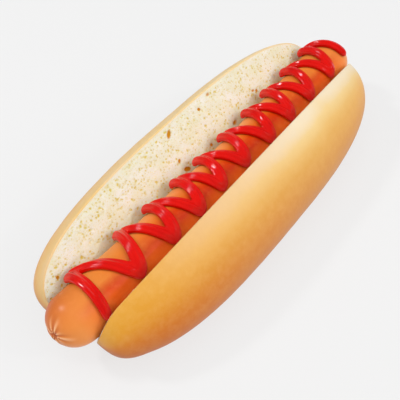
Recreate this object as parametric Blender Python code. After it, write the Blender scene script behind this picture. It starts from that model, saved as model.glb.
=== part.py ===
"""Hot dog: a hinge-cut bun opened in a V, a frankfurter lying in it and a zigzag of ketchup on top.

Metres, +Z up, length along X, the front half of the bun on the -Y side. The origin is under the middle,
on the flat it rests on.
"""
import math
from types import SimpleNamespace

import bmesh
import bpy
from mathutils import Matrix, Vector

MM = 0.001

# Bun: two half rolls that meet at a hinge line, each cut face leaning out from the upright
BUN_LENGTH = 168.0 * MM
END_TIP = 0.41
BOTTOM_EDGE_POWER = 2.5
FAR_END_POWER = 2.6
ROUND_POWER = 1.93
LIP_LENGTH = 11.0 * MM
BULGE_DEPTH = 9.0 * MM
FRONT = SimpleNamespace(
    side=-1,
    lean=math.radians(28.2),
    shift=0.5 * MM,
    width=41.8 * MM,
    thickness=28.4 * MM,
    near_edge_power=2.75,
    far_edge_power=2.75,
    near_end_power=2.9,
    rim_power=1.93,
    lip=2.8 * MM,
    bulge=0.0 * MM,
)
BACK = SimpleNamespace(
    side=1,
    lean=math.radians(27.4),
    shift=-0.9 * MM,
    width=44.5 * MM,
    thickness=29.1 * MM,
    near_edge_power=2.9,
    far_edge_power=2.63,
    near_end_power=3.7,
    rim_power=1.82,
    lip=0.5 * MM,
    bulge=1.0 * MM,
)
HINGE_HEIGHT = 3.5 * MM
BUN_STATIONS = 30
CRUST_STEPS = 15

# Uncut bread that joins the two halves underneath
HINGE_LENGTH = 150.0 * MM
HINGE_HALF_WIDTH = 13.0 * MM
HINGE_MIDDLE = 1.0 * MM
HINGE_ABOVE = 5.4 * MM
HINGE_BELOW = 4.2 * MM
HINGE_END_POWER = 2.6
HINGE_END_RISE = 0.8
HINGE_STATIONS = 18
HINGE_STEPS = 14

# Sausage
SAUSAGE_RADIUS = 10.5 * MM
SAUSAGE_LENGTH = 185.0 * MM
SAUSAGE_ABOVE_HINGE = 19.0 * MM
BOW_LENGTH = 170.0 * MM
BOW_FORWARD = 2.8 * MM
BOW_DOWN = 1.0 * MM
PUCKER_TILT = math.radians(17.0)
PUCKER_TURN = math.radians(-20.0)
PUCKER_REACH = math.radians(50.0)
PUCKER_DIMPLE = math.radians(11.0)
PUCKER_DEPTH = 0.9 * MM
PUCKER_FOLDS = 9
PUCKER_FOLD_DEPTH = 0.6 * MM
SAUSAGE_SEGMENTS = 48
CAP_RINGS = 11
BODY_RINGS = 8
GROOVE_STATIONS = 12
CLEARANCE = 0.3 * MM

# Ketchup: one row per zigzag. A square stroke climbs from a front turn to the back, and a slanting one
# comes down from there to the next front turn. In mm along the sausage, and degrees from its top with
# the front negative: x and angle of the front turn, how far the square stroke bows, x where it ends at
# the back, x where the slanting stroke bends over the back, and how much taller it stands there
TURNS = (
    (-76.0, -62, 3.2, -74.3, -67.0, 0.6),
    (-57.5, -48, 2.8, -50.7, -47.5, 0.0),
    (-39.3, -47, 4.8, -35.8, -32.0, 0.0),
    (-24.0, -44, 4.4, -19.9, -16.1, 0.0),
    (-10.0, -40, 4.2, -5.6, -3.2, 0.0),
    (5.0, -40, 3.0, 10.6, 13.6, 0.0),
    (21.8, -45, 2.6, 27.8, 30.2, 0.0),
    (37.3, -46, 1.2, 42.8, 46.2, 0.0),
    (52.4, -48, 3.6, 58.7, 63.3, 0.0),
    (70.4, -51, 2.2, 75.1, 80.5, 0.0),
)
TAIL = (84.0, -46)
BACK_ANGLE = 56
BEND_ANGLE = 45
TURN_OVERLAP = 1.0
SQUARE_HALF_WIDTH = 2.25 * MM
SLANT_HALF_WIDTH = 2.15 * MM
SQUARE_POOL = 0.25
SLANT_POOL = 0.3
BLUNT = 0.2
BEAD_HEIGHT = 2.5 * MM
BACK_SWELL = 0.35
BEAD_FOOT = 0.3
SQUARE_LIFT = 0.2 * MM
END_OVERRUN = 0.05
BEAD_STATIONS = 10
BEAD_STEPS = 8

SAUSAGE_HEIGHT = HINGE_HEIGHT + SAUSAGE_ABOVE_HINGE

# Looks: linear colours with their roughness, and the angle past which an edge stays crisp
SHARP_ANGLE = math.radians(40.0)
BREAD = ((0.72, 0.42, 0.15), 0.6)
SAUSAGE_SKIN = ((0.62, 0.14, 0.03), 0.35)
KETCHUP = ((0.55, 0.012, 0.008), 0.2)


def sausage_axis(x):
    """Where the middle of the sausage is at x: it bows forward and down between its ends."""
    bow = max(0.0, 1.0 - (2 * x / BOW_LENGTH) ** 2)
    return -BOW_FORWARD * bow, SAUSAGE_HEIGHT - BOW_DOWN * bow


def superellipse(u, power):
    """Height at u (-1 to 1) of a rounded arch of height 1."""
    return (1.0 - min(1.0, abs(u)) ** power) ** (1.0 / power)


def eased(count):
    """Steps from -1 to 1 that crowd towards both ends."""
    return [-math.cos(math.pi * i / count) for i in range(count + 1)]


def closed_loft(name, rings, start, end):
    """A solid through a list of rings of points, closed by one point at either end."""
    mesh = bmesh.new()
    loops = [[mesh.verts.new(point) for point in ring] for ring in rings]
    first = mesh.verts.new(start)
    last = mesh.verts.new(end)
    count = len(rings[0])
    for i in range(count):
        j = (i + 1) % count
        for here, there in zip(loops, loops[1:]):
            mesh.faces.new((here[i], here[j], there[j], there[i]))
        mesh.faces.new((first, loops[0][j], loops[0][i]))
        mesh.faces.new((last, loops[-1][i], loops[-1][j]))
    bmesh.ops.recalc_face_normals(mesh, faces=mesh.faces)
    bmesh.ops.triangulate(mesh, faces=mesh.faces)
    data = bpy.data.meshes.new(name)
    mesh.to_mesh(data)
    mesh.free()
    solid = bpy.data.objects.new(name, data)
    bpy.context.scene.collection.objects.link(solid)
    return solid


def finish(solid, name, look):
    """Name a finished solid, give it its material and shade it smooth."""
    colour, roughness = look
    material = bpy.data.materials.new(name)
    material.use_nodes = True
    surface = material.node_tree.nodes["Principled BSDF"]
    surface.inputs["Base Color"].default_value = (*colour, 1.0)
    surface.inputs["Roughness"].default_value = roughness
    surface.inputs["Metallic"].default_value = 0.0
    solid.name = name
    solid.data.materials.clear()
    solid.data.materials.append(material)
    solid.data.set_sharp_from_angle(angle=SHARP_ANGLE)


def combine(target, other, operation):
    """Apply a Boolean to the target and delete the other solid."""
    modifier = target.modifiers.new("boolean", "BOOLEAN")
    modifier.operation = operation
    modifier.solver = "EXACT"
    modifier.object = other
    depsgraph = bpy.context.evaluated_depsgraph_get()
    data = bpy.data.meshes.new_from_object(target.evaluated_get(depsgraph))
    target.modifiers.clear()
    old = target.data
    target.data = data
    bpy.data.meshes.remove(old)
    bpy.data.objects.remove(other)


def half_bun(half):
    """One half of the roll: a flat cut face from the hinge to the rim, and the crust behind it.

    At the near end the cut face turns out by the lip, and the crust swells past the face by the bulge.
    """

    def place(u, across, outward):
        from_end = (u + 1) * BUN_LENGTH / 2
        swell = 1.0 - max(0.0, 1.0 - outward / BULGE_DEPTH) ** 2
        x = half.shift + u * BUN_LENGTH / 2 - half.bulge * swell * max(0.0, -u) ** 3
        outward += half.lip * max(0.0, 1.0 - from_end / LIP_LENGTH) ** 2
        y = half.side * (across * math.sin(half.lean) + outward * math.cos(half.lean))
        z = HINGE_HEIGHT + across * math.cos(half.lean) - outward * math.sin(half.lean)
        return (x, y, z)

    rings = []
    for u in eased(BUN_STATIONS)[1:-1]:
        edge_power = half.near_edge_power if u < 0 else half.far_edge_power
        top = END_TIP + (1 - END_TIP) * superellipse(u, edge_power)
        bottom = END_TIP - END_TIP * superellipse(u, BOTTOM_EDGE_POWER)
        depth = half.thickness * superellipse(u, half.near_end_power if u < 0 else FAR_END_POWER)
        ring = []
        for v in eased(CRUST_STEPS):
            across = half.width * ((top + bottom) / 2 + (top - bottom) / 2 * v)
            outward = depth * superellipse(v, ROUND_POWER if v < 0 else half.rim_power)
            ring.append(place(u, across, outward))
        rings.append(ring)
    tip = half.width * END_TIP
    return closed_loft("half", rings, place(-1, tip, 0.0), place(1, tip, 0.0))


def hinge_bread():
    """The uncut bread along the bottom of the V."""
    def middle(u):
        lift = END_TIP * (1 - superellipse(u * HINGE_LENGTH / BUN_LENGTH, BOTTOM_EDGE_POWER))
        return HINGE_HEIGHT + HINGE_MIDDLE + HINGE_END_RISE * lift * FRONT.width

    rings = []
    for u in eased(HINGE_STATIONS)[1:-1]:
        x = u * HINGE_LENGTH / 2
        scale = superellipse(u, HINGE_END_POWER)
        ring = []
        for step in range(HINGE_STEPS):
            angle = 2 * math.pi * (step + 0.5) / HINGE_STEPS
            rise = HINGE_ABOVE if math.sin(angle) > 0 else HINGE_BELOW
            y = HINGE_HALF_WIDTH * scale * math.cos(angle)
            ring.append((x, y, middle(u) + rise * scale * math.sin(angle)))
        rings.append(ring)
    start = (-HINGE_LENGTH / 2, 0.0, middle(-1))
    end = (HINGE_LENGTH / 2, 0.0, middle(1))
    return closed_loft("hinge", rings, start, end)


def groove_bar():
    """The sausage fattened by the clearance, running out past both ends of the bun."""
    radius = SAUSAGE_RADIUS + CLEARANCE
    rings = []
    for station in range(GROOVE_STATIONS + 1):
        x = (2 * station / GROOVE_STATIONS - 1) * SAUSAGE_LENGTH / 2
        rings.append(sausage_ring(x, 0.0, radius, False))
    half = SAUSAGE_LENGTH / 2
    return closed_loft("groove", rings, (-half, *sausage_axis(half)), (half, *sausage_axis(half)))


def floor_block():
    """A slab below z = 0 that trims the bun flat."""
    rings = []
    for x in (-BUN_LENGTH, BUN_LENGTH):
        ring = []
        for y, z in ((-1, -1), (1, -1), (1, 0), (-1, 0)):
            ring.append((x, y * BUN_LENGTH, z * BUN_LENGTH))
        rings.append(ring)
    middle = -BUN_LENGTH / 2
    return closed_loft("floor", rings, (-BUN_LENGTH, 0.0, middle), (BUN_LENGTH, 0.0, middle))


def build_bun():
    bun = half_bun(FRONT)
    combine(bun, half_bun(BACK), "UNION")
    combine(bun, hinge_bread(), "UNION")
    combine(bun, groove_bar(), "DIFFERENCE")
    combine(bun, floor_block(), "DIFFERENCE")
    finish(bun, "bun", BREAD)


def pucker(point, end):
    """How far the skin is drawn in towards the tied point of a cap, at a point of a unit ball."""
    aside = math.sin(PUCKER_TILT)
    across = (aside * math.sin(PUCKER_TURN), aside * math.cos(PUCKER_TURN))
    knot = Vector((end * math.cos(PUCKER_TILT), *across))
    away = knot.angle(point, 0.0)
    first = knot.cross(Vector((0.0, 1.0, 0.0))).normalized()
    around = math.atan2(point.dot(knot.cross(first)), point.dot(first))
    dimple = max(0.0, 1.0 - away / PUCKER_DIMPLE) ** 2
    fold = 0.5 + 0.5 * math.cos(PUCKER_FOLDS * around)
    fade = max(0.0, 1.0 - away / PUCKER_REACH) * min(1.0, away / PUCKER_DIMPLE)
    return PUCKER_DEPTH * dimple + PUCKER_FOLD_DEPTH * fold * fade


def sausage_point(inner, point, radius):
    """A point of the skin: out by the radius, along a unit vector, from the axis near inner."""
    y, z = sausage_axis(inner + radius * point.x)
    return (inner + radius * point.x, y + radius * point.y, z + radius * point.z)


def sausage_ring(inner, tilt, radius, tied):
    """One ring of the skin, seen at the tilt from the middle of its cap; tied rings are puckered."""
    ring = []
    for step in range(SAUSAGE_SEGMENTS):
        angle = 2 * math.pi * step / SAUSAGE_SEGMENTS
        aside = math.cos(tilt)
        point = Vector((math.sin(tilt), aside * math.sin(angle), aside * math.cos(angle)))
        drawn = pucker(point, math.copysign(1.0, tilt)) if tied else 0.0
        ring.append(sausage_point(inner, point, radius - drawn))
    return ring


def build_sausage():
    """A gently bowed skin with round ends, each drawn in to a small pucker."""
    straight = SAUSAGE_LENGTH / 2 - SAUSAGE_RADIUS
    tilts = [math.pi / 2 * i / CAP_RINGS for i in range(CAP_RINGS)]
    rings = [sausage_ring(-straight, -tilt, SAUSAGE_RADIUS, tilt > 0) for tilt in reversed(tilts)]
    for i in range(1, BODY_RINGS):
        rings.append(sausage_ring(straight * (2 * i / BODY_RINGS - 1), 0.0, SAUSAGE_RADIUS, False))
    rings += [sausage_ring(straight, tilt, SAUSAGE_RADIUS, tilt > 0) for tilt in tilts]
    tips = []
    for end in (-1.0, 1.0):
        pole = Vector((end, 0.0, 0.0))
        tips.append(sausage_point(end * straight, pole, SAUSAGE_RADIUS - pucker(pole, end)))
    sausage = closed_loft("sausage", rings, *tips)
    finish(sausage, "sausage", SAUSAGE_SKIN)


def square_width(t):
    """Half width of a square stroke: pooled at the front (t = 0), blunt at the back (t = 1)."""
    return SQUARE_HALF_WIDTH * (1 + SQUARE_POOL * (1 - t) ** 3 + BLUNT * t ** 6)


def slant_width(t):
    """Half width of a slanting stroke: pooled at the front (t = 0)."""
    return SLANT_HALF_WIDTH * (1 + SLANT_POOL * (1 - t) ** 3)


def stroke(name, start, bend, end, half_width, swell, lift):
    """One bead of ketchup laid on the sausage between two points given as (mm, degrees).

    It stands taller by the swell towards its end, and all of it is raised by the lift.
    """
    base = SAUSAGE_RADIUS + CLEARANCE
    corners = [(x * MM, math.radians(angle) * base) for x, angle in (start, bend, end)]
    times = [0.5 + (0.5 + END_OVERRUN) * step for step in eased(BEAD_STATIONS)]
    path = []
    for t in times:
        weights = ((1 - t) ** 2, 2 * t * (1 - t), t ** 2)
        path.append([sum(w * corner[axis] for w, corner in zip(weights, corners)) for axis in (0, 1)])
    lengths = [0.0]
    for here, there in zip(path, path[1:]):
        lengths.append(lengths[-1] + math.dist(here, there))

    def place(along, around, rise):
        radius = base + lift + rise
        angle = around / base
        y, z = sausage_axis(along)
        return (along, y + radius * math.sin(angle), z + radius * math.cos(angle))

    rings = []
    for i in range(1, BEAD_STATIONS):
        t = min(1.0, max(0.0, times[i]))
        reach = min(lengths[i], lengths[-1] - lengths[i]) / half_width(t)
        taper = superellipse(max(0.0, 1.0 - reach), 2.0)
        run = path[i + 1][0] - path[i - 1][0]
        turn = path[i + 1][1] - path[i - 1][1]
        size = math.hypot(run, turn)
        ring = []
        for step in range(BEAD_STEPS):
            angle = 2 * math.pi * (step + 0.25) / BEAD_STEPS
            aside = half_width(t) * taper * math.cos(angle)
            lobe = (1 - BEAD_FOOT if math.sin(angle) > 0 else BEAD_FOOT) * math.sin(angle)
            rise = BEAD_HEIGHT * (BEAD_FOOT + lobe * taper) * (1 + swell * t ** 4)
            ring.append(place(path[i][0] - aside * turn / size, path[i][1] + aside * run / size, rise))
        rings.append(ring)
    foot = BEAD_HEIGHT * BEAD_FOOT
    return closed_loft(name, rings, place(*path[0], foot), place(*path[-1], foot * (1 + swell)))


def build_ketchup():
    """Each front turn joined to the back by a square stroke, and the next one by a slanting stroke."""
    fronts = [turn[:2] for turn in TURNS] + [TAIL]
    ketchup = None
    for (x, angle, bow, back, over, stand), ahead in zip(TURNS, fronts[1:]):
        climb = ((x, angle), ((x + back) / 2 + bow, 0), (back, BACK_ANGLE))
        square = stroke("square", *climb, square_width, BACK_SWELL, SQUARE_LIFT)
        descent = (ahead, (over, BEND_ANGLE), (back + TURN_OVERLAP, BACK_ANGLE))
        slant = stroke("slant", *descent, slant_width, stand, 0.0)
        if ketchup is None:
            ketchup = square
        else:
            combine(ketchup, square, "UNION")
        combine(ketchup, slant, "UNION")
    finish(ketchup, "ketchup", KETCHUP)


def centre_across():
    """Slide everything so that the origin is halfway across the bun."""
    across = [vertex.co.y for vertex in bpy.data.objects["bun"].data.vertices]
    middle = (min(across) + max(across)) / 2
    for item in bpy.data.objects:
        item.data.transform(Matrix.Translation((0.0, -middle, 0.0)))


def main():
    for item in list(bpy.data.objects):
        bpy.data.objects.remove(item)
    build_bun()
    build_sausage()
    build_ketchup()
    centre_across()


main()
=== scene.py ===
"""Looks of the hot dog: crusty bread with open crumb, a glossy sausage and wet ketchup, in a pale studio."""

import math
from types import SimpleNamespace

import bpy
import numpy as np
from mathutils import Matrix, Vector, noise


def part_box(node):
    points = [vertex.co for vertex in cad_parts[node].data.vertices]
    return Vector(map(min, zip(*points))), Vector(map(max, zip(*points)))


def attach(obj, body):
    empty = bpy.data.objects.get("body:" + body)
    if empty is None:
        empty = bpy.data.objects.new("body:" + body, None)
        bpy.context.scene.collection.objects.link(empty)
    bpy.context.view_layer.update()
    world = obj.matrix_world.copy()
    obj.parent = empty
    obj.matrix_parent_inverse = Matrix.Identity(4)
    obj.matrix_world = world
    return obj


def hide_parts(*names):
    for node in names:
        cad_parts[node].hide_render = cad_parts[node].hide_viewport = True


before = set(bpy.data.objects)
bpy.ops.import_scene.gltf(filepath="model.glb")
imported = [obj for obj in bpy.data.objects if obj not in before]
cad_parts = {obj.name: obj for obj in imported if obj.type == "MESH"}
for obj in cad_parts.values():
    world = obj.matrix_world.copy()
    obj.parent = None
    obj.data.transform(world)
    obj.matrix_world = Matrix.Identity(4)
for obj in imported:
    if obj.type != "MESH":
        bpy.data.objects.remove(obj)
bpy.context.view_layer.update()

MM = 0.001
TINY = 1e-9
DISPLAY_GAMMA = 2.2
NOISE_SHIFT = (7.31, 3.17, 5.77)

# The sausage sets the place of everything. The axis joins the middles of its two ends, and the halves of
# the bun open from a line straight below it
SAUSAGE_RADIUS = 10.5 * MM
SAUSAGE_ABOVE_HINGE = 19.0 * MM
BOW_LENGTH = 170.0 * MM
BOW_FORWARD = 2.8 * MM
BOW_DOWN = 1.0 * MM
sausage_low, sausage_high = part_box("sausage")
SAUSAGE_HALF = -sausage_low.x
STRAIGHT_HALF = SAUSAGE_HALF - SAUSAGE_RADIUS
END_BOW = 1.0 - (2 * STRAIGHT_HALF / BOW_LENGTH) ** 2
AXIS_Y = sausage_high.y - SAUSAGE_RADIUS + BOW_FORWARD * END_BOW
AXIS_Z = sausage_high.z - SAUSAGE_RADIUS + BOW_DOWN * END_BOW
HINGE_Z = AXIS_Z - SAUSAGE_ABOVE_HINGE

# Bun, as in the solid
BUN_LENGTH = 168.0 * MM
END_TIP = 0.41
BOTTOM_EDGE_POWER = 2.5
FAR_END_POWER = 2.6
ROUND_POWER = 1.93
LIP_LENGTH = 11.0 * MM
BULGE_DEPTH = 9.0 * MM
FRONT = SimpleNamespace(
    name="front",
    side=-1,
    lean=math.radians(28.2),
    shift=0.5 * MM,
    width=41.8 * MM,
    thickness=28.4 * MM,
    near_edge_power=2.75,
    far_edge_power=2.75,
    near_end_power=2.9,
    rim_power=1.93,
    lip=2.8 * MM,
    bulge=0.0 * MM,
    rim_ramp_start=0.0,
    bake=1.0,
    seed=3,
)
BACK = SimpleNamespace(
    name="back",
    side=1,
    lean=math.radians(27.4),
    shift=-0.9 * MM,
    width=44.5 * MM,
    thickness=29.1 * MM,
    near_edge_power=2.9,
    far_edge_power=2.63,
    near_end_power=3.7,
    rim_power=1.82,
    lip=0.5 * MM,
    bulge=1.0 * MM,
    rim_ramp_start=0.015,
    bake=0.3,
    seed=8,
)
RIM_FILLET = 0.6 * MM
FILLET_OF_WIDTH = 0.2
FILLET_OF_DEPTH = 0.4
BUN_STATIONS = 600
OUTLINE_SAMPLES = 20 * BUN_STATIONS
OUTLINE_POWER = 2.8

# Crust: the steps round the bread crowd at the rim, and swells and dimples fade out towards it
CRUST_HALF_STEPS = 40
CRUST_CROWDING = 1.5
CRUST_SWELL = 0.30 * MM
CRUST_SWELL_SIZE = 30.0 * MM
CRUST_DIMPLE = 0.05 * MM
CRUST_DIMPLE_SIZE = 5.0 * MM
CRUST_FADE = 5.0 * MM
BAKE_END = 0.65
BAKE_FADE = 0.55

# Crumb: rough and full of pores, each within PORE_REACH radii of its middle, and smooth at its rim
CRUMB_STEPS = 140
CRUMB_ROUGHNESS = 0.22 * MM
COARSE_LUMPS = 6.0 * MM
FINE_LUMPS = 1.7 * MM
COARSE_SHARE = 0.6
FINE_SHARE = 0.4
FINE_PORES = SimpleNamespace(count=3600, small=0.16 * MM, large=0.52 * MM, sparse=2.0, tint=0.8)
OPEN_PORES = SimpleNamespace(count=48, small=0.5 * MM, large=1.15 * MM, sparse=1.5, tint=1.0)
OPEN_PORES_SEED = 100
PORE_STRETCH = 1.9
PORE_REACH = 2.0
PORE_FAINTEST = 0.3
PORE_BOWL_POWER = 0.6
PORE_DEPTH = 0.4
INSET_OF_DEPTH = 0.7
SMOOTH_RIM = 0.9 * MM
SMOOTH_RIM_FADE = 1.2 * MM
INSET_REACH = 4.0 * MM
SHADE_REACH = 8.0 * MM
SAUSAGE_CLEARANCE = 0.05 * MM

# Hinge bread: its top bulges to HINGE_TOP above the line that the halves open from, and its ends shrink
# towards a core at HINGE_CORE above that line
HINGE_LENGTH = 150.0 * MM
HINGE_STATIONS = 160
HINGE_STEPS = 49
LOWEST_STEPS = 400
HINGE_END_POWER = 2.6
HINGE_RISE = 0.9 * MM
HINGE_LIFT = 0.05 * MM
HINGE_CORE = 1.0 * MM
HINGE_TOP = 6.4 * MM
HINGE_TOP_HALF = 11 * MM
HINGE_TOP_POWER = 2.0
HINGE_FOLLOW = 0.8
HINGE_BAKE_WIDTH = 30 * MM
HINGE_AROUND = 0.78

# Sausage skin. The folds of its tied ends wander and differ in length: each wave has a size, a number of
# turns round the knot and a start in radians
SAUSAGE_RINGS = 380
SAUSAGE_CROWDING = 0.6
SAUSAGE_SEGMENTS = 150
SAUSAGE_SWELL = 0.12 * MM
SAUSAGE_SWELL_SIZE = 22 * MM
SAUSAGE_SEED = 21
PALE_END = 60.0 * MM
PUCKER_TILT = math.radians(17.0)
PUCKER_TURN = math.radians(-20.0)
PUCKER_REACH = math.radians(50.0)
PUCKER_DIMPLE = math.radians(11.0)
PUCKER_DIMPLE_POWER = 1.5
PUCKER_DEPTH = 0.9 * MM
PUCKER_FOLDS = 9
PUCKER_FOLD_DEPTH = 0.6 * MM
PUCKER_TWIST = 1.5
PUCKER_FADE_POWER = 1.3
PUCKER_WANDER = ((0.8, 2, 1.0), (0.5, 3, 2.0))
PUCKER_LENGTHS = (0.25, 4, 1.0)

# Ketchup: one row per zigzag. A square stroke climbs from a front turn to the back, and a slanting one
# comes down from there to the next front turn. In mm along the sausage, and degrees from its top with
# the front negative: x and angle of the front turn, how much wider the strokes are where they meet there,
# how far the square stroke bows, x where it ends at the back, x where the slanting stroke bends over the
# back, and how much taller it stands there. The tail is where the last stroke comes down: x, angle and
# how much wider it is
TURNS = (
    (-76.2, -72, -0.20, 3.0, -74.3, -67.0, 0.6),
    (-57.5, -54, 0.32, 2.8, -50.7, -47.5, 0.0),
    (-39.3, -53, 0.25, 4.8, -35.8, -32.0, 0.0),
    (-24.3, -50, 0.20, 4.4, -19.9, -16.1, 0.0),
    (-10.4, -46, 0.20, 4.2, -5.6, -3.2, 0.0),
    (5.0, -46, 0.25, 3.0, 10.6, 13.6, 0.0),
    (21.8, -51, 0.25, 2.6, 27.8, 30.2, 0.0),
    (37.3, -52, 0.25, 1.2, 42.8, 46.2, 0.0),
    (52.4, -54, 0.25, 3.6, 58.7, 63.3, 0.0),
    (70.4, -56, 0.20, 2.2, 75.1, 80.5, 0.0),
)
TAIL = (84.0, -46, -0.10)

# Strokes of ketchup: pointed at the front, blunt and swollen at the back, with fine ridges along the top
BACK_ANGLE = 56
BEND_ANGLE = 45
TURN_OVERLAP = 1.0
SQUARE_HALF_WIDTH = 2.27 * MM
SLANT_HALF_WIDTH = 2.08 * MM
POOL_POWER = 3
BLUNT = 0.2
BLUNT_POWER = 6
FRONT_POINT = 1.6
STROKE_SPREAD = 0.55
THINNEST_TAPER = 1e-4
BEAD_HEIGHT = 2.6 * MM
BEAD_FOOT = 0.3
BEAD_BASE = SAUSAGE_RADIUS - 0.15 * MM
SWELL = 0.35
SWELL_POWER = 4
BEAD_RIDGES = 3
RIDGE_DEPTH = 0.26 * MM
RIDGE_START = 0.5
SQUARE_LIFT = 0.25 * MM
BEAD_STATIONS = 60
BEAD_STEPS = 40
KETCHUP_VOXEL = 0.29 * MM
SOFTEN_FACTOR = 0.5
SOFTEN_TIMES = 2

# Colours in display values. The crust's run from the rim round the bread, the sausage's from back to front
# Partly baked colour, partly painted light: a pale painted highlight at the rim, painted shade lower down
PALE_CRUST = (
    (0.00, (229, 212, 182)),
    (0.02, (228, 196, 135)),
    (0.05, (224, 178, 104)),
    (0.09, (219, 164, 86)),
    (0.20, (208, 144, 69)),
    (0.40, (196, 128, 66)),
    (0.80, (190, 122, 68)),
)
DARK_CRUST = (
    (0.00, (219, 155, 56)),
    (0.05, (217, 147, 50)),
    (0.137, (209, 124, 35)),
    (0.20, (202, 112, 31)),
    (0.40, (188, 99, 36)),
    (0.80, (180, 96, 44)),
)
CRUST_MOTTLE = (250, 214, 150)
CRUMB_CREAM = (236, 237, 208)
CRUMB_WHITE = (243, 244, 233)
CRUMB_FLECK = (232, 220, 150)
# Painted shade on the crumb beside the sausage, cool and greenish
CRUMB_PAINTED_SHADE = (222, 246, 222)
CRUMB_SPECK = (216, 197, 90)
CRUMB_PORE = (202, 138, 30)
CRUMB_EDGE = (242, 226, 188)
# Painted light round the skin: paler on the back side, a dark red painted shade along the front under the
# rim
SAUSAGE_SIDES_LIT_AND_SHADED = (
    (0.10, (226, 152, 90)),
    (0.30, (226, 134, 70)),
    (0.46, (218, 108, 36)),
    (0.60, (202, 62, 1)),
    (0.76, (192, 48, 1)),
    (0.92, (231, 95, 23)),
)
# Painted highlight on the upper back side of the skin near the ends
SAUSAGE_PAINTED_HIGHLIGHT = (219, 132, 56)
# Round ends: painted shade at the back, painted highlight at the front
CAP_PAINTED_SHADE = (184, 78, 26)
CAP_PAINTED_HIGHLIGHT = (234, 144, 72)
# Pucker: painted shade in its sunk folds and knot, painted highlights on the ridges between them
CREASE_PAINTED_SHADE = (182, 78, 30)
CREASE_PAINTED_HIGHLIGHT = (252, 190, 138)
SAUSAGE_FLECK = (240, 150, 84)
KETCHUP_DARK = (190, 10, 5)
KETCHUP_BRIGHT = (226, 24, 12)
FLOOR_DARK = (104, 104, 104)
FLOOR_BRIGHT = (106, 106, 106)
WHITE = (1.0, 1.0, 1.0, 1.0)

# Gloss
CRUST_SPECULAR = 0.3
CRUMB_SPECULAR = 0.2
CRUMB_MATT = 0.85
SAUSAGE_SPECULAR = 0.2
KETCHUP_SPECULAR = 0.28
FLOOR_MATT = 0.9

# Camera, placed from the middle of the axis
CAMERA_PLACE = Vector((-113.03, -109.89, 170.67)) * MM
CAMERA_AZIMUTH = math.radians(-42.12)
CAMERA_ELEVATION = math.radians(49.89)
CAMERA_ROLL = math.radians(-11.18)
CAMERA_LENS = 50.4
CAMERA_SENSOR = 36.0
CAMERA_NEAREST = 0.01
CAMERA_FARTHEST = 10.0

# Studio: the floor glows a little, so that it is evenly bright. Each light has a name, a place, a size and
# a power in watts, and may glint in glossy surfaces
FLOOR_HALF = 20.0
FLOOR_GLOW = 0.713
SKY = 0.3
LIGHT_AIM = Vector((0.0, 0.0, 0.02))
LIGHTS = (
    ("top", (0.0, -0.1, 1.3), (1.2, 1.2), 6.0, False),
    ("fill", (0.30, -1.05, 0.80), (1.3, 0.9), 9.0, False),
    ("front", (0.34, -0.98, 0.84), (0.07, 0.07), 1.9, True),
    ("back", (-0.32, 0.52, 0.80), (0.12, 0.12), 3.4, True),
    ("end", (-1.0, 0.3, 0.35), (0.6, 0.5), 1.2, True),
)


def linear(colour):
    """A linear colour from 0 to 255 display values."""
    return tuple((value / 255.0) ** DISPLAY_GAMMA for value in colour) + (1.0,)


def superellipse(u, power):
    """Height at u (-1 to 1) of a rounded arch of height 1."""
    return (1.0 - np.minimum(1.0, np.abs(u)) ** power) ** (1.0 / power)


def sausage_axis(x):
    """Where the middle of the sausage is at x, as (y, z)."""
    bow = np.maximum(0.0, 1.0 - (2 * x / BOW_LENGTH) ** 2)
    return AXIS_Y - BOW_FORWARD * bow, AXIS_Z - BOW_DOWN * bow


def lumps(points, scale, seed):
    """Smooth noise from -1 to 1 at each point, with lumps about as long as scale."""
    offset = Vector([seed * shift for shift in NOISE_SHIFT])
    return np.array([noise.noise(Vector(point) / scale + offset) for point in points])


def mesh_object(name, vertices, faces, attributes=None):
    """A smooth-shaded mesh piece, with named numbers on its vertices for its material to read."""
    mesh = bpy.data.meshes.new(name)
    mesh.from_pydata([tuple(point) for point in vertices], [], [tuple(face) for face in faces])
    for label, values in (attributes or {}).items():
        layer = mesh.attributes.new(label, "FLOAT", "POINT")
        layer.data.foreach_set("value", np.asarray(values, np.float32))
    mesh.shade_smooth()
    mesh.update()
    piece = bpy.data.objects.new(name, mesh)
    bpy.context.scene.collection.objects.link(piece)
    return piece


def finish_piece(piece, node):
    """Hang a piece on the frame in place of its solid node."""
    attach(piece, "root")
    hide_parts(node)


def grid_faces(rows, columns, flip):
    """Quads of a grid of rows by columns points."""
    first = (np.arange(rows - 1)[:, None] * columns + np.arange(columns - 1)[None, :]).ravel()
    quads = np.stack([first, first + 1, first + columns + 1, first + columns], 1)
    return quads[:, ::-1] if flip else quads


def tube_rings(rows, columns):
    """Point numbers of a tube's rings, and of each point's neighbour round its ring."""
    index = np.arange(rows * columns).reshape(rows, columns)
    return index, np.roll(index, -1, 1)


def tube_quads(index, turn):
    """Quads between the rings of a tube."""
    return np.stack([index[:-1], turn[:-1], turn[1:], index[1:]], -1).reshape(-1, 4)


# Bun ----------------------------------------------------------------------------------------------

def bun_stations():
    """Places along the bun from -1 to 1, evenly spaced along its outline."""
    u = -np.cos(math.pi * np.linspace(0.0, 1.0, OUTLINE_SAMPLES))
    aside = superellipse(u, OUTLINE_POWER) * FRONT.thickness
    steps = np.hypot(np.diff(u) * BUN_LENGTH / 2, np.diff(aside))
    length = np.concatenate([[0.0], np.cumsum(steps)])
    return np.interp(np.linspace(0.0, length[-1], BUN_STATIONS), length, u)


def half_place(half, u, across, outward):
    """Points of one half of the bun, from across the cut face and outward from it."""
    from_end = (u + 1) * BUN_LENGTH / 2
    swell = 1.0 - np.maximum(0.0, 1.0 - outward / BULGE_DEPTH) ** 2
    x = half.shift + u * BUN_LENGTH / 2 - half.bulge * swell * np.maximum(0.0, -u) ** 3
    outward = outward + half.lip * np.maximum(0.0, 1.0 - from_end / LIP_LENGTH) ** 2
    y = AXIS_Y + half.side * (across * math.sin(half.lean) + outward * math.cos(half.lean))
    z = HINGE_Z + across * math.cos(half.lean) - outward * math.sin(half.lean)
    return np.stack([x, y, z], -1)


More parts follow.
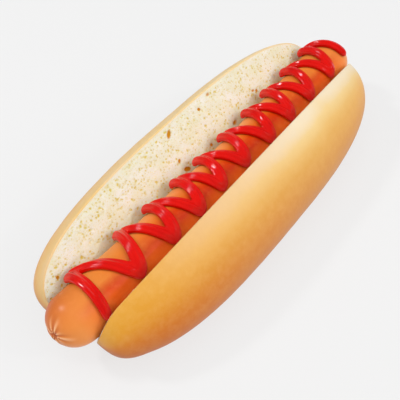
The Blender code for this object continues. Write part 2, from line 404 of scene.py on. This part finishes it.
def half_edges(half, u):
    """Lowest and highest point of the cut face at u, and the depth of the bread behind it."""
    edge_power = np.where(u < 0, half.near_edge_power, half.far_edge_power)
    top = END_TIP + (1 - END_TIP) * superellipse(u, edge_power)
    bottom = END_TIP - END_TIP * superellipse(u, BOTTOM_EDGE_POWER)
    depth = half.thickness * superellipse(u, np.where(u < 0, half.near_end_power, FAR_END_POWER))
    return half.width * bottom, half.width * top, depth


def rim_fillet(bottom, top, depth):
    """Radius of the rounded rim, smaller where the bread is thin."""
    return np.minimum(RIM_FILLET, np.minimum((top - bottom) * FILLET_OF_WIDTH, depth * FILLET_OF_DEPTH))


def baked(u):
    """How browned the crust is along the bun: 1 at the near end, 0 from past the middle."""
    return np.clip((BAKE_END - (u + 1) / 2) / BAKE_FADE, 0.0, 1.0)


def uneven(half, points, outward):
    """Points of the crust, gently swollen and dimpled away from the axis, and not below the floor."""
    away = np.stack([np.zeros(len(points)), points[:, 1] - AXIS_Y, points[:, 2] - AXIS_Z], 1)
    away /= np.linalg.norm(away, axis=1)[:, None]
    fade = np.minimum(1.0, outward / CRUST_FADE)[:, None]
    swell = (CRUST_SWELL * lumps(points, CRUST_SWELL_SIZE, half.seed)
             + CRUST_DIMPLE * lumps(points, CRUST_DIMPLE_SIZE, half.seed + 1))
    points = points + away * fade * swell[:, None]
    points[:, 2] = np.maximum(points[:, 2], 0.0)
    return points


def crust(half):
    """The outside of one half, from its rim round to the hinge."""
    u = bun_stations()[:, None]
    bottom, top, depth = half_edges(half, u)
    fillet = np.maximum(TINY, rim_fillet(bottom, top, depth))
    climb = np.arange(CRUST_HALF_STEPS + 1) / CRUST_HALF_STEPS
    climb = np.sin(math.pi / 2 * climb ** CRUST_CROWDING)
    upper = superellipse(climb, half.rim_power)
    lower = -superellipse(climb, ROUND_POWER)[-2::-1]
    v = np.concatenate([upper, lower])[None, :]
    outward = depth * np.concatenate([climb, climb[-2::-1]])[None, :]
    short = np.maximum(0.0, 1.0 - outward / fillet)
    tuck = fillet * (1 - np.sqrt(np.maximum(0.0, 1 - short ** 2)))
    across = (top + bottom) / 2 + (top - bottom) / 2 * v - np.sign(v) * tuck
    points = half_place(half, u, across, outward)
    rows, columns = points.shape[:2]
    flat = uneven(half, points.reshape(-1, 3), outward.ravel())
    # around runs from the rim to the hinge; the back half starts a little in, with less painted rim
    # highlight
    around = half.rim_ramp_start + (1 - half.rim_ramp_start) * np.broadcast_to((1 - v) / 2, (rows, columns)).ravel()
    bake = half.bake * np.broadcast_to(baked(u), (rows, columns)).ravel()
    piece = mesh_object("crust_" + half.name, flat, grid_faces(rows, columns, half.side < 0),
                        {"around": around, "bake": bake})
    piece.data.materials.append(crust_material())
    finish_piece(piece, "bun")


def pores(half, x, across, kind, seed):
    """Depth and tint of one kind of pore at points of the cut face."""
    rng = np.random.default_rng(seed)
    depth = np.zeros(x.shape)
    tint = np.zeros(x.shape)
    for _ in range(kind.count):
        radius = kind.small + (kind.large - kind.small) * rng.random() ** kind.sparse
        spot_x = rng.uniform(-0.5, 0.5) * BUN_LENGTH
        spot_across = rng.uniform(0.0, 1.0) * half.width
        turn = rng.uniform(0, math.pi)
        stretch = rng.uniform(1.0, PORE_STRETCH)
        colour = kind.tint * rng.uniform(PORE_FAINTEST, 1.0)
        reach = PORE_REACH * radius
        part = slice(*np.searchsorted(x[:, 0], [spot_x - reach, spot_x + reach]))
        dx = x[part] - spot_x
        da = across[part] - spot_across
        long = (dx * math.cos(turn) + da * math.sin(turn)) / (radius * stretch)
        short = (da * math.cos(turn) - dx * math.sin(turn)) / radius
        bowl = np.maximum(0.0, 1.0 - long ** 2 - short ** 2) ** PORE_BOWL_POWER
        deeper = bowl * radius > depth[part]
        depth[part] = np.where(deeper, bowl * radius, depth[part])
        tint[part] = np.where(deeper, colour * bowl, tint[part])
    return depth, tint


def press_in(points, into):
    """Push points out of the sausage, along into, to just clear of its skin."""
    radius = SAUSAGE_RADIUS + SAUSAGE_CLEARANCE
    axis_y, axis_z = sausage_axis(points[:, 0])
    away = np.stack([np.zeros(len(points)), points[:, 1] - axis_y, points[:, 2] - axis_z], 1)
    along = away @ into
    beyond = np.sum(away ** 2, 1) - radius ** 2
    push = np.sqrt(np.maximum(0.0, along ** 2 - beyond)) - along
    inside = (beyond < 0) & (np.abs(points[:, 0]) < STRAIGHT_HALF)
    return points + np.where(inside, push, 0.0)[:, None] * into


def roughened(half, points, hollow, fade, into):
    """Points of the cut face, sunk into the bread by its pores and moved a little by its lumps."""
    rough = (COARSE_SHARE * lumps(points, COARSE_LUMPS, half.seed + 2)
             + FINE_SHARE * lumps(points, FINE_LUMPS, half.seed + 3))
    sink = fade * (PORE_DEPTH * hollow + CRUMB_ROUGHNESS * rough)
    return points + sink[:, None] * into


def painted_shade_near_sausage(points):
    """Painted shade beside the sausage: 1 at its skin, falling to 0 where it is SHADE_REACH away."""
    axis_y, axis_z = sausage_axis(points[:, 0])
    clear = np.hypot(points[:, 1] - axis_y, points[:, 2] - axis_z) - SAUSAGE_RADIUS
    return np.clip(1 - clear / SHADE_REACH, 0, 1)


def crumb(half):
    """The cut face of one half: rough, full of pores and pressed in where the sausage lies."""
    u = bun_stations()[:, None]
    bottom, top, depth = half_edges(half, u)
    fillet = rim_fillet(bottom, top, depth)
    share = (np.arange(CRUMB_STEPS + 1) / CRUMB_STEPS)[None, :]
    across = bottom + fillet + (top - bottom - 2 * fillet) * share
    rows, columns = across.shape
    x = np.broadcast_to(half.shift + u * BUN_LENGTH / 2, across.shape)
    fine, fine_tint = pores(half, x, across, FINE_PORES, half.seed)
    wide, wide_tint = pores(half, x, across, OPEN_PORES, half.seed + OPEN_PORES_SEED)
    hollow = np.maximum(fine, wide).ravel()
    inset = np.minimum(np.minimum(across - bottom, top - across), depth * INSET_OF_DEPTH).ravel()
    fade = np.clip((inset - SMOOTH_RIM) / SMOOTH_RIM_FADE, 0.0, 1.0)
    flat = half_place(half, u + 0 * across, across, 0 * across).reshape(-1, 3)
    into = np.array([0.0, half.side * math.cos(half.lean), -math.sin(half.lean)])
    flat = press_in(roughened(half, flat, hollow, fade, into), into)
    piece = mesh_object("crumb_" + half.name, flat, grid_faces(rows, columns, half.side > 0),
                        {"speck": fine_tint.ravel() * fade,
                         "pore": wide_tint.ravel() * fade,
                         "beside": painted_shade_near_sausage(flat),
                         "inset": np.clip(inset / INSET_REACH, 0, 1)})
    piece.data.materials.append(crumb_material())
    finish_piece(piece, "bun")


def lowest_line(half, u):
    """The lowest point of one half at each u, as (y, z)."""
    bottom, top, depth = half_edges(half, u[:, None])
    v = np.linspace(-1, 1, LOWEST_STEPS)[None, :]
    across = (top + bottom) / 2 + (top - bottom) / 2 * v
    share = superellipse(v, np.where(v < 0, ROUND_POWER, half.rim_power))
    points = half_place(half, u[:, None] + 0 * v, across, depth * share)
    row = np.arange(len(u))
    lowest = points[row, points[:, :, 2].argmin(1)]
    return lowest[:, 1], np.maximum(lowest[:, 2], 0.0)


def hinge_sections(s):
    """Closed sections of the hinge bread at each s (-1 to 1): along underneath, then back over the top."""
    u = s * HINGE_LENGTH / BUN_LENGTH
    front_y, front_z = lowest_line(FRONT, u)
    back_y, back_z = lowest_line(BACK, u)
    t = np.linspace(-1, 1, HINGE_STEPS)[None, :]
    base_y = (front_y + back_y)[:, None] / 2 + (back_y - front_y)[:, None] / 2 * t
    base_z = (front_z + back_z)[:, None] / 2 + (back_z - front_z)[:, None] / 2 * t
    base_z = base_z + HINGE_RISE * (1 - t ** 2) ** 2 + HINGE_LIFT
    bottom_edge = END_TIP * FRONT.width * (1 - superellipse(u, BOTTOM_EDGE_POWER))[:, None]
    core_z = HINGE_Z + HINGE_FOLLOW * bottom_edge + HINGE_CORE
    top_y = AXIS_Y + HINGE_TOP_HALF * -t
    top_z = core_z + (HINGE_TOP - HINGE_CORE) * superellipse(t, HINGE_TOP_POWER)
    y = np.concatenate([base_y, top_y[:, 1:-1] + 0 * base_y[:, 1:-1]], 1)
    z = np.concatenate([base_z, top_z[:, 1:-1]], 1)
    scale = superellipse(s, HINGE_END_POWER)[:, None]
    y = AXIS_Y + (y - AXIS_Y) * scale
    z = core_z + (z - core_z) * scale
    x = np.broadcast_to((u * BUN_LENGTH / 2)[:, None], y.shape)
    points = np.stack([x, y, z], -1)
    return np.concatenate([points, points[:, :1]], 1)


def hinge():
    """The uncut bread between the halves, smooth with both of them underneath."""
    s = -np.cos(math.pi * np.arange(1, HINGE_STATIONS) / HINGE_STATIONS)
    sections = hinge_sections(s)
    towards_back = np.clip(0.5 + (sections[:, :, 1] - AXIS_Y) / HINGE_BAKE_WIDTH, 0.0, 1.0)
    along = baked(s * HINGE_LENGTH / BUN_LENGTH)[:, None]
    bake = (FRONT.bake + (BACK.bake - FRONT.bake) * towards_back) * along
    rows, columns = bake.shape
    piece = mesh_object("bun_hinge", sections.reshape(-1, 3), grid_faces(rows, columns, True),
                        {"around": np.full(bake.size, HINGE_AROUND), "bake": bake.ravel()})
    piece.data.materials.append(crust_material())
    finish_piece(piece, "bun")


# Sausage ------------------------------------------------------------------------------------------

def wave(around, size, turns, start):
    """A wave round the knot of a tied end."""
    return size * np.sin(turns * around + start)


def pucker(points, end):
    """How far the skin of a cap is drawn in towards its tied end, and how creased it is, for points on
    a unit sphere. Folds are positive and the ridges between them negative."""
    side = math.sin(PUCKER_TILT)
    knot = np.array([end * math.cos(PUCKER_TILT),
                     side * math.sin(PUCKER_TURN),
                     side * math.cos(PUCKER_TURN)])
    first = np.cross(knot, [0.0, 1.0, 0.0])
    first /= np.linalg.norm(first)
    second = np.cross(knot, first)
    away = np.arccos(np.clip(points @ knot, -1.0, 1.0))
    around = np.arctan2(points @ second, points @ first)
    reach = np.clip(away / PUCKER_REACH, 0.0, 1.0)
    wander = sum(wave(around, *settings) for settings in PUCKER_WANDER)
    fold = 0.5 + 0.5 * np.cos(PUCKER_FOLDS * around + wander + PUCKER_TWIST * reach)
    length = 1.0 - PUCKER_LENGTHS[0] + wave(around, *PUCKER_LENGTHS)
    fade = np.maximum(0.0, 1.0 - reach / length) ** PUCKER_FADE_POWER
    fade = fade * np.minimum(1.0, away / (PUCKER_DIMPLE / 2))
    dimple = np.maximum(0.0, 1.0 - away / PUCKER_DIMPLE) ** PUCKER_DIMPLE_POWER
    return PUCKER_DEPTH * dimple + PUCKER_FOLD_DEPTH * fold * fade, (2 * fold - 1) * fade + dimple


def sausage_rings():
    """Directions of the skin on a unit sphere, ring by ring, and x of the middle that each starts from."""
    length = 2 * STRAIGHT_HALF + math.pi * SAUSAGE_RADIUS
    share = np.arange(1, SAUSAGE_RINGS) / SAUSAGE_RINGS
    travel = (share + SAUSAGE_CROWDING * np.sin(2 * math.pi * share) / (2 * math.pi) - 0.5) * length
    over = (np.maximum(0.0, np.abs(travel) - STRAIGHT_HALF) / SAUSAGE_RADIUS)[:, None]
    inner = (np.sign(travel) * np.minimum(np.abs(travel), STRAIGHT_HALF))[:, None]
    angle = (2 * math.pi * np.arange(SAUSAGE_SEGMENTS) / SAUSAGE_SEGMENTS)[None, :]
    ball = np.stack([np.sign(inner) * np.sin(over) + 0 * angle, np.cos(over) * np.sin(angle),
                     np.cos(over) * np.cos(angle)], -1)
    return ball, inner


def sausage_faces(rows, columns):
    """Quads between the rings, and triangles that close both ends at the two last points."""
    index, turn = tube_rings(rows, columns)
    low_tip = rows * columns
    high_tip = low_tip + 1
    faces = tube_quads(index, turn)[:, ::-1].tolist()
    faces += [(low_tip, int(b), int(a)) for a, b in zip(index[0], turn[0])]
    faces += [(high_tip, int(a), int(b)) for a, b in zip(index[-1], turn[-1])]
    return faces


def sausage():
    """The skin: round, slightly uneven, drawn in to a folded pucker at both ends."""
    ball, inner = sausage_rings()
    rows, columns = ball.shape[:2]
    ball = np.concatenate([ball.reshape(-1, 3), [[-1.0, 0.0, 0.0], [1.0, 0.0, 0.0]]])
    inner = np.concatenate([np.repeat(inner, columns), [-STRAIGHT_HALF, STRAIGHT_HALF]])
    near, near_crease = pucker(ball, -1)
    far, far_crease = pucker(ball, 1)
    on_cap = np.abs(inner) >= STRAIGHT_HALF
    drawn = np.where(on_cap, np.where(inner < 0, near, far), 0.0)
    crease = np.where(on_cap, np.where(inner < 0, near_crease, far_crease), 0.0)
    x = inner + SAUSAGE_RADIUS * ball[:, 0]
    axis_y, axis_z = sausage_axis(x)
    middle = np.stack([inner, axis_y, axis_z], 1)
    swell = SAUSAGE_SWELL * lumps(ball * SAUSAGE_RADIUS + middle, SAUSAGE_SWELL_SIZE, SAUSAGE_SEED)
    flat = middle + ball * (SAUSAGE_RADIUS + swell - drawn)[:, None]
    end = np.clip(1 - (SAUSAGE_HALF - np.abs(x)) / PALE_END, 0, 1)
    piece = mesh_object("sausage_skin", flat, sausage_faces(rows, columns),
                        {"end": end, "front": 0.5 - 0.5 * ball[:, 1], "crease": crease})
    piece.data.materials.append(sausage_material())
    finish_piece(piece, "sausage")


# Ketchup ------------------------------------------------------------------------------------------

def stroke_path(start, bend, end, t):
    """Points at t of the curve from start to end that bends towards bend, unrolled flat in metres."""
    weights = np.stack([(1 - t) ** 2, 2 * t * (1 - t), t ** 2], 1)
    corners = [(x * MM, math.radians(angle) * BEAD_BASE) for x, angle in (start, bend, end)]
    return weights @ np.array(corners)


def stroke_ridges(angle, reach):
    """How far the ridges stand proud at each angle round a stroke, fading out near its ends."""
    ridge = RIDGE_DEPTH * np.cos(2 * BEAD_RIDGES * (angle - math.pi / 2)) * np.maximum(0.0, np.sin(angle))
    return ridge * np.clip(reach - RIDGE_START, 0.0, 1.0)[:, None]


def bead(start, bend, end, half_width, swell, lift):
    """Points and faces of one stroke of ketchup, its ends rounded and its back ridged."""
    t = 0.5 - STROKE_SPREAD * np.cos(math.pi * np.arange(BEAD_STATIONS + 1) / BEAD_STATIONS)
    path = stroke_path(start, bend, end, t)
    width = half_width(np.clip(t, 0.0, 1.0))
    length = np.concatenate([[0.0], np.cumsum(np.linalg.norm(np.diff(path, axis=0), axis=1))])
    reach = np.minimum(length / FRONT_POINT, length[-1] - length) / width
    taper = np.sqrt(np.maximum(THINNEST_TAPER, 1 - np.maximum(0.0, 1 - reach) ** 2))[:, None]
    run = np.gradient(path, axis=0)
    run /= np.linalg.norm(run, axis=1)[:, None]
    angle = 2 * math.pi * np.arange(BEAD_STEPS)[None, :] / BEAD_STEPS
    ridge = stroke_ridges(angle, reach)
    aside = (width[:, None] + ridge) * taper * np.cos(angle)
    upper = (1 - BEAD_FOOT) * BEAD_HEIGHT + ridge
    lobe = np.where(np.sin(angle) > 0, upper, BEAD_FOOT * BEAD_HEIGHT) * np.sin(angle)
    taller = (1 + swell * np.clip(t, 0, 1) ** SWELL_POWER)[:, None]
    rise = (BEAD_HEIGHT * BEAD_FOOT + lobe * taper) * taller
    along = path[:, :1] - aside * run[:, 1:]
    turn = (path[:, 1:] + aside * run[:, :1]) / BEAD_BASE
    radius = BEAD_BASE + lift + rise
    axis_y, axis_z = sausage_axis(along)
    points = np.stack([along, axis_y + radius * np.sin(turn), axis_z + radius * np.cos(turn)], -1)
    rings, beside = tube_rings(*along.shape)
    caps = [rings[0][::-1].tolist(), rings[-1].tolist()]
    return points.reshape(-1, 3), tube_quads(rings, beside).tolist() + caps


def stroke_width(middle, pool, blunt):
    """Half width along a stroke, for t from its front end (0) to its back end (1)."""
    return lambda t: middle * (1 + pool * (1 - t) ** POOL_POWER + blunt * t ** BLUNT_POWER)


def strokes():
    """Each front turn joined to the back by a square stroke, and the next one by a slanting stroke."""
    fronts = [turn[:3] for turn in TURNS] + [TAIL]
    for (x, angle, pool, bow, back, over, stand), ahead in zip(TURNS, fronts[1:]):
        climb = ((x, angle), ((x + back) / 2 + bow, 0), (back, BACK_ANGLE))
        yield bead(*climb, stroke_width(SQUARE_HALF_WIDTH, pool, BLUNT), SWELL, SQUARE_LIFT)
        descent = (ahead[:2], (over, BEND_ANGLE), (back + TURN_OVERLAP, BACK_ANGLE))
        yield bead(*descent, stroke_width(SLANT_HALF_WIDTH, ahead[2], 0.0), stand, 0.0)


def ketchup():
    """All strokes run together into one wet bead."""
    vertices, faces = [], []
    for points, sides in strokes():
        faces += [tuple(number + len(vertices) for number in side) for side in sides]
        vertices += list(points)
    piece = mesh_object("ketchup_bead", vertices, faces)
    remesh = piece.modifiers.new("flow_together", "REMESH")
    remesh.mode = "VOXEL"
    remesh.voxel_size = KETCHUP_VOXEL
    remesh.use_smooth_shade = True
    soften = piece.modifiers.new("soften", "SMOOTH")
    soften.factor = SOFTEN_FACTOR
    soften.iterations = SOFTEN_TIMES
    depsgraph = bpy.context.evaluated_depsgraph_get()
    flowed = bpy.data.meshes.new_from_object(piece.evaluated_get(depsgraph))
    piece.modifiers.clear()
    piece.data = flowed
    piece.data.materials.append(ketchup_material())
    finish_piece(piece, "ketchup")


# Materials ----------------------------------------------------------------------------------------

class Nodes:
    """Short calls for building a node material."""

    # Where a Mix node keeps its two colours and its mixed colour
    MIX_FIRST = 6
    MIX_SECOND = 7
    MIX_RESULT = 2

    def __init__(self, name):
        """A new material with its shader."""
        self.material = bpy.data.materials.new(name)
        self.material.use_nodes = True
        self.tree = self.material.node_tree
        self.shader = self.tree.nodes["Principled BSDF"]

    def add(self, kind, inputs=None, **settings):
        """A new node with its settings and inputs."""
        node = self.tree.nodes.new(kind)
        for key, value in settings.items():
            setattr(node, key, value)
        for key, value in (inputs or {}).items():
            self.set(node.inputs[key], value)
        return node

    def set(self, socket, value):
        """Link an output to a socket, or give the socket a plain value."""
        if isinstance(value, bpy.types.NodeSocket):
            self.tree.links.new(value, socket)
        else:
            socket.default_value = value

    def shade(self, **inputs):
        """Set inputs of the shader, named with underscores for spaces."""
        for key, value in inputs.items():
            self.set(self.shader.inputs[key.replace("_", " ")], value)

    def attribute(self, name):
        """A named number of the mesh."""
        return self.add("ShaderNodeAttribute", attribute_name=name).outputs["Fac"]

    def noise(self, scale, detail=3.0, roughness=0.55):
        """Cloudy noise from 0 to 1 over the object's own coordinates; scale is in clouds per metre."""
        position = self.add("ShaderNodeTexCoord").outputs["Object"]
        inputs = {"Scale": scale, "Detail": detail, "Roughness": roughness, "Vector": position}
        return self.add("ShaderNodeTexNoise", inputs).outputs["Fac"]

    def math(self, operation, first, second, clamp=False):
        """The outcome of one operation on two numbers."""
        node = self.add("ShaderNodeMath", operation=operation, use_clamp=clamp)
        self.set(node.inputs[0], first)
        self.set(node.inputs[1], second)
        return node.outputs[0]

    def ramp(self, factor, stops):
        """A colour between the stops, each a place and a display colour."""
        node = self.add("ShaderNodeValToRGB")
        self.set(node.inputs[0], factor)
        elements = node.color_ramp.elements
        while len(elements) < len(stops):
            elements.new(0.5)
        for element, (place, colour) in zip(elements, stops):
            element.position = place
            element.color = linear(colour)
        return node.outputs["Color"]

    def steps(self, factor, low, high):
        """0 where factor is low, rising to 1 where it is high."""
        node = self.add("ShaderNodeMapRange", {"Value": factor, "From Min": low, "From Max": high})
        return node.outputs["Result"]

    def mix(self, factor, first, second):
        """A colour from first (factor 0) to second (factor 1)."""
        node = self.add("ShaderNodeMix", data_type="RGBA")
        self.set(node.inputs[0], factor)
        self.set(node.inputs[self.MIX_FIRST], first)
        self.set(node.inputs[self.MIX_SECOND], second)
        return node.outputs[self.MIX_RESULT]

    def tint(self, colour, factor, strength, display):
        """A colour mixed towards a display colour by factor times strength."""
        return self.mix(self.math("MULTIPLY", factor, strength, clamp=True), colour, linear(display))

    def bump(self, height, distance, strength, normal=None):
        """A normal bent by a height, on top of another bump if there is one."""
        inputs = {"Height": height, "Distance": distance, "Strength": strength}
        if normal is not None:
            inputs["Normal"] = normal
        return self.add("ShaderNodeBump", inputs).outputs["Normal"]


def crust_material():
    """Soft baked crust: pale rim as painted highlight, golden, browner round the side partly as painted
    shade, darker near end.
    """
    if "bread_crust" in bpy.data.materials:
        return bpy.data.materials["bread_crust"]
    n = Nodes("bread_crust")
    cloud = n.math("SUBTRACT", n.noise(scale=45.0, detail=4.0), 0.5)
    around = n.math("ADD", n.attribute("around"), n.math("MULTIPLY", cloud, 0.04))
    bake = n.math("ADD", n.attribute("bake"), n.math("MULTIPLY", cloud, -0.3), clamp=True)
    # The ramps paint a highlight pale at the rim and shade browner lower round the side, over the bake
    colour = n.mix(bake, n.ramp(around, PALE_CRUST), n.ramp(around, DARK_CRUST))
    mottle = n.noise(scale=330.0, detail=5.0, roughness=0.6)
    colour = n.tint(colour, n.steps(mottle, low=0.4, high=0.8), 0.12, CRUST_MOTTLE)
    skin = n.bump(n.noise(scale=900.0), distance=0.00012, strength=0.3)
    normal = n.bump(n.noise(scale=240.0), distance=0.0004, strength=0.2, normal=skin)
    roughness = n.steps(mottle, low=-0.2, high=1.4)
    n.shade(Base_Color=colour, Roughness=roughness, Specular_IOR_Level=CRUST_SPECULAR, Normal=normal)
    return n.material


def crumb_material():
    """White and cream crumb: yellow in its fine pores, brown in its open ones, a cool painted shade beside
    the sausage, and with the crust's own edge at the rim."""
    if "bread_crumb" in bpy.data.materials:
        return bpy.data.materials["bread_crumb"]
    n = Nodes("bread_crumb")
    patch = n.steps(n.noise(scale=150.0, detail=4.0), low=0.35, high=0.65)
    colour = n.mix(patch, linear(CRUMB_CREAM), linear(CRUMB_WHITE))
    fine = n.noise(scale=1900.0, detail=2.0, roughness=0.7)
    colour = n.mix(n.steps(fine, low=0.54, high=0.70), colour, linear(CRUMB_FLECK))
    # Painted shade: a cool greenish tint on the crumb next to the sausage, fading out over SHADE_REACH
    colour = n.tint(colour, n.attribute("beside"), 0.7, CRUMB_PAINTED_SHADE)
    colour = n.tint(colour, n.attribute("speck"), 1.6, CRUMB_SPECK)
    colour = n.tint(colour, n.attribute("pore"), 2.2, CRUMB_PORE)
    colour = n.mix(n.steps(n.attribute("inset"), low=0.28, high=0.12), colour, linear(CRUMB_EDGE))
    normal = n.bump(fine, distance=0.0003, strength=0.6)
    n.shade(Base_Color=colour, Roughness=CRUMB_MATT, Specular_IOR_Level=CRUMB_SPECULAR, Normal=normal)
    return n.material


def sausage_material():
    """Orange skin painted with light and shade: redder at the front, paler on the round ends, creases, a
    soft shine.
    """
    n = Nodes("sausage_skin_look")
    cloud = n.math("SUBTRACT", n.noise(scale=60.0, detail=4.0), 0.5)
    # side runs from back to front; the ramp paints light on the back side and shade along the front
    side = n.math("ADD", n.attribute("front"), n.math("MULTIPLY", cloud, 0.25))
    end = n.attribute("end")
    # Painted highlight: paler on the upper back side towards the ends
    upper = n.math("MULTIPLY", n.steps(end, low=0.0, high=0.7), n.steps(side, low=0.82, high=0.66))
    colour = n.mix(upper, n.ramp(side, SAUSAGE_SIDES_LIT_AND_SHADED), linear(SAUSAGE_PAINTED_HIGHLIGHT))
    # Round ends painted from shade at the back to a highlight at the front
    cap = n.mix(side, linear(CAP_PAINTED_SHADE), linear(CAP_PAINTED_HIGHLIGHT))
    colour = n.mix(n.steps(end, low=0.62, high=0.88), colour, cap)
    # Painted shade in the pucker's sunk folds and knot, painted highlights along its ridges
    crease = n.attribute("crease")
    colour = n.mix(n.steps(crease, low=0.0, high=0.9), colour, linear(CREASE_PAINTED_SHADE))
    colour = n.mix(n.steps(crease, low=0.0, high=-0.5), colour, linear(CREASE_PAINTED_HIGHLIGHT))
    fleck = n.steps(n.noise(scale=500.0, detail=4.0, roughness=0.65), low=0.5, high=0.8)
    colour = n.tint(colour, fleck, 0.15, SAUSAGE_FLECK)
    roughness = n.steps(n.noise(scale=90.0), low=-0.9, high=2.8)
    skin = n.bump(n.noise(scale=1300.0, detail=2.0), distance=0.00006, strength=0.4)
    normal = n.bump(n.noise(scale=150.0), distance=0.0004, strength=0.25, normal=skin)
    n.shade(Base_Color=colour, Roughness=roughness, Specular_IOR_Level=SAUSAGE_SPECULAR, Normal=normal)
    return n.material


def ketchup_material():
    """Deep red, wet and glossy."""
    n = Nodes("ketchup_look")
    colour = n.mix(n.noise(scale=180.0, detail=4.0), linear(KETCHUP_DARK), linear(KETCHUP_BRIGHT))
    roughness = n.steps(n.noise(scale=400.0), low=-0.1, high=7.0)
    normal = n.bump(n.noise(scale=700.0), distance=0.00012, strength=0.5)
    n.shade(Base_Color=colour, Roughness=roughness, Specular_IOR_Level=KETCHUP_SPECULAR, Normal=normal)
    return n.material


# Studio -------------------------------------------------------------------------------------------

def camera():
    """A camera that looks down on the hot dog from its near left end, slightly rolled."""
    across = math.cos(CAMERA_ELEVATION)
    back = Vector((math.sin(CAMERA_AZIMUTH) * across, -math.cos(CAMERA_AZIMUTH) * across,
                   math.sin(CAMERA_ELEVATION)))
    data = bpy.data.cameras.new("camera")
    data.lens = CAMERA_LENS
    data.sensor_width = CAMERA_SENSOR
    data.clip_start = CAMERA_NEAREST
    data.clip_end = CAMERA_FARTHEST
    holder = bpy.data.objects.new("camera", data)
    bpy.context.scene.collection.objects.link(holder)
    turn = (-back).to_track_quat("-Z", "Y").to_matrix().to_4x4()
    place = Matrix.Translation(Vector((0.0, AXIS_Y, AXIS_Z)) + CAMERA_PLACE)
    holder.matrix_world = place @ turn @ Matrix.Rotation(CAMERA_ROLL, 4, "Z")
    bpy.context.scene.camera = holder


def floor():
    """A plain pale floor under the hot dog."""
    corners = [(x * FLOOR_HALF, y * FLOOR_HALF, 0.0) for x, y in ((-1, -1), (1, -1), (1, 1), (-1, 1))]
    piece = mesh_object("floor", corners, [(0, 1, 2, 3)])
    n = Nodes("floor_paper")
    colour = n.mix(n.noise(scale=6.0, detail=2.0), linear(FLOOR_DARK), linear(FLOOR_BRIGHT))
    n.shade(Base_Color=colour, Roughness=FLOOR_MATT, Emission_Color=WHITE, Emission_Strength=FLOOR_GLOW)
    piece.data.materials.append(n.material)


def area_light(name, place, size, power, glint):
    """A lamp aimed at the hot dog; without glint it lights surfaces but isn't mirrored in glossy ones."""
    data = bpy.data.lights.new(name, "AREA")
    data.shape = "RECTANGLE"
    data.size, data.size_y = size
    data.energy = power
    lamp = bpy.data.objects.new(name, data)
    lamp.location = place
    lamp.rotation_euler = (LIGHT_AIM - Vector(place)).to_track_quat("-Z", "Y").to_euler()
    lamp.visible_glossy = glint
    bpy.context.scene.collection.objects.link(lamp)


def studio():
    """Plain colours, an even white sky and the lights."""
    scene = bpy.context.scene
    scene.view_settings.view_transform = "Standard"
    world = bpy.data.worlds.new("studio")
    scene.world = world
    world.use_nodes = True
    sky = world.node_tree.nodes["Background"]
    sky.inputs["Color"].default_value = WHITE
    sky.inputs["Strength"].default_value = SKY
    for light in LIGHTS:
        area_light(*light)


for half in (FRONT, BACK):
    crust(half)
    crumb(half)
hinge()
sausage()
ketchup()
floor()
studio()
camera()
